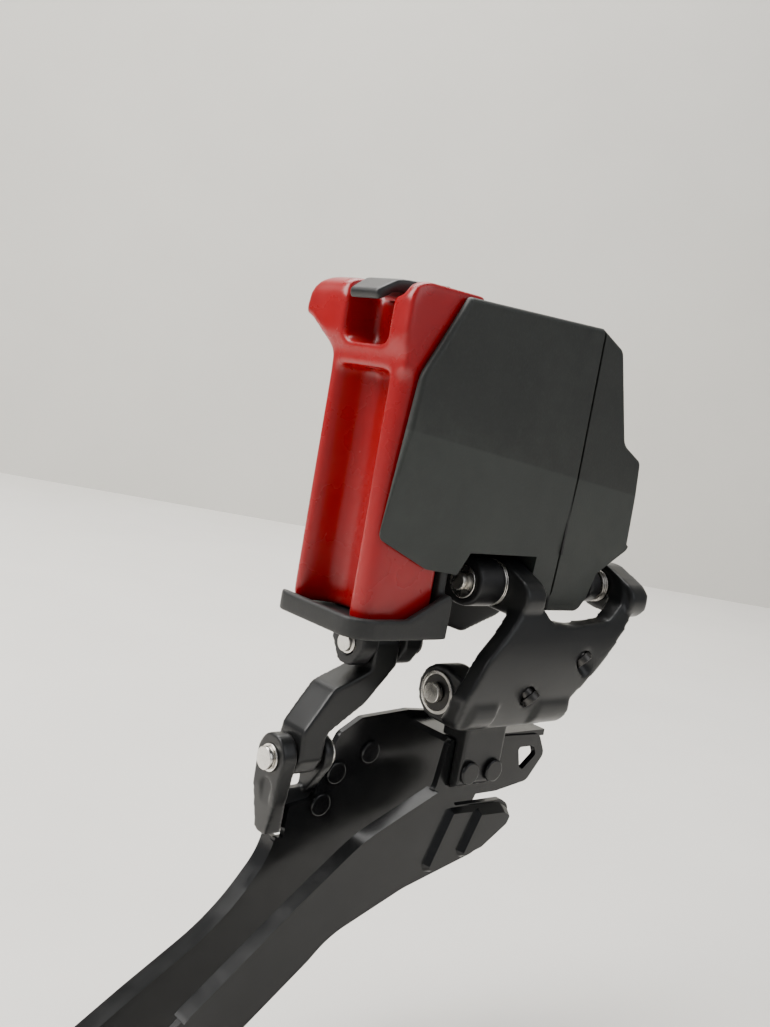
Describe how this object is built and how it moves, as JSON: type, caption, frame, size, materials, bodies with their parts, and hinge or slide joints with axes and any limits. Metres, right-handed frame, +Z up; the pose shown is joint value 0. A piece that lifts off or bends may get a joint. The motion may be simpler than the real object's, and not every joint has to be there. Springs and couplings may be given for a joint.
{
  "type": "front derailleur",
  "caption": "Battery-powered front derailleur with a braze-on mount: boxed motor housing, rear battery block under a latch, parallelogram links and a swept two-plate chain cage.",
  "frame": {"origin": "centre of the braze-on mounting face, on the axis of its M5 thread", "axes": "+X forward on the bicycle, +Y inboard towards the frame, +Z up; the drive side faces -Y"},
  "size_m": [0.1002, 0.036, 0.1334],
  "materials": {
    "housing_plastic": "glass-filled moulding, fine texture",
    "tray_plastic": "fine moulded",
    "latch_black": "satin",
    "red_gloss": "glossy red moulding",
    "seal_rubber": "matt",
    "bracket_black": "satin black anodised",
    "link_black": "satin black anodised forging",
    "cage_black": "gloss black anodised",
    "steel_bright": "turned",
    "steel_dark": "black oxide",
    "spring_steel": "drawn wire",
    "contact_gold": "gold flash",
    "board_green": "solder mask",
    "lens_clear": "translucent",
    "motor_can": "plated can",
    "gear_brass": "cut",
    "bush_polymer": "bearing polymer"
  },
  "bodies": {
    "frame_side": {"main_housing": "housing_plastic", "front_cover": "housing_plastic", "cover_gasket": "seal_rubber", "cover_screws": "steel_dark", "base_bracket": "bracket_black", "battery_tray": "tray_plastic", "tray_screws": "steel_dark", "latch_pin": "steel_bright", "latch_spring": "spring_steel", "linkage_spring": "spring_steel", "button_spring": "spring_steel", "contact_carrier": "tray_plastic", "battery_contacts": "contact_gold", "circuit_board": "board_green", "status_lens": "lens_clear", "drive_motor": "motor_can", "gearbox_plate": "steel_dark", "intermediate_shaft": "steel_bright", "upper_inner_pin": "steel_bright"},
    "outer_arm": {"outer_link": "link_black", "output_sector": "steel_dark", "upper_outer_pin": "steel_bright", "upper_outer_ring": "steel_bright", "upper_pivot_washers": "steel_bright", "lower_pivot_bushes": "bush_polymer"},
    "inner_arm": {"inner_link": "link_black"},
    "cage": {"cage_outer_plate": "cage_black", "cage_inner_plate": "cage_black", "cage_hinge_bracket": "link_black", "cage_pivot_bracket": "link_black", "cage_rivets": "cage_black", "cage_tail_spacer": "tray_plastic", "cage_tail_screw": "steel_dark", "lower_outer_pin": "steel_bright", "lower_outer_ring": "steel_bright", "lower_inner_pin": "steel_bright", "lower_inner_ring": "steel_bright"},
    "latch": {"battery_latch": "latch_black"},
    "battery": {"battery_block": "red_gloss"},
    "button": {"function_button": "tray_plastic"},
    "motor_rotor": {"motor_pinion": "gear_brass"},
    "reduction_gear": {"intermediate_gear": "gear_brass"},
    "high_screw": {"high_limit_screw": "steel_dark"},
    "low_screw": {"low_limit_screw": "steel_dark"},
    "support_screw": {"support_bolt": "steel_dark"}
  },
  "joints": [
    {"name": "outer_arm_hinge", "type": "hinge", "parent": "frame_side", "child": "outer_arm", "pos_m": [0, -0.024, -0.0092], "axis": [1, 0, 0], "range_deg": [-12, 12]},
    {"name": "inner_arm_hinge", "type": "hinge", "parent": "frame_side", "child": "inner_arm", "pos_m": [-0.028, -0.0125, -0.0229], "axis": [1, 0, 0], "range_deg": [-12, 12]},
    {"name": "cage_hinge", "type": "hinge", "parent": "outer_arm", "child": "cage", "pos_m": [-0.011, -0.0235, -0.0289], "axis": [1, 0, 0], "range_deg": [-12, 12]},
    {"name": "reduction_spin", "type": "hinge", "parent": "frame_side", "child": "reduction_gear", "pos_m": [0, -0.01829, 0.00787], "axis": [1, 0, 0], "range_deg": [-42.5, 42.5]},
    {"name": "motor_spin", "type": "hinge", "parent": "frame_side", "child": "motor_rotor", "pos_m": [0, -0.0157, 0.01753], "axis": [1, 0, 0], "range_deg": [-109, 109]},
    {"name": "latch_hinge", "type": "hinge", "parent": "frame_side", "child": "latch", "pos_m": [-0.0245, -0.018, 0.0342], "axis": [0, 1, 0], "range_deg": [0, 72], "stiffness_Nm_per_rad": 0.004, "springref_deg": -20.05},
    {"name": "battery_tilt", "type": "hinge", "parent": "frame_side", "child": "battery", "pos_m": [-0.0465, -0.016, -0.0162], "axis": [0, -1, 0], "range_deg": [0, 13]},
    {"name": "button_press", "type": "slide", "parent": "frame_side", "child": "button", "axis": [-1, 0, 0], "range_m": [0, 0.0006], "stiffness_N_per_m": 900},
    {"name": "high_screw_turn", "type": "hinge", "parent": "outer_arm", "child": "high_screw", "pos_m": [-0.0095, -0.0324, -0.0272], "axis": [0.4208, -0.6211, -0.6612], "continuous": true},
    {"name": "low_screw_turn", "type": "hinge", "parent": "outer_arm", "child": "low_screw", "pos_m": [0.003, -0.0324, -0.0206], "axis": [0.4208, -0.6211, -0.6612], "continuous": true},
    {"name": "support_screw_turn", "type": "hinge", "parent": "frame_side", "child": "support_screw", "pos_m": [-0.018, -0.002, -0.01], "axis": [0, 1, 0], "continuous": true}
  ],
  "couplings": [
    {"joint": "inner_arm_hinge", "follows": "outer_arm_hinge", "ratio": 1},
    {"joint": "cage_hinge", "follows": "outer_arm_hinge", "ratio": -1},
    {"joint": "reduction_spin", "follows": "outer_arm_hinge", "ratio": -3.5},
    {"joint": "motor_spin", "follows": "outer_arm_hinge", "ratio": 9},
    {"joint": "battery_tilt", "follows": "latch_hinge", "ratio": 0.18}
  ]
}
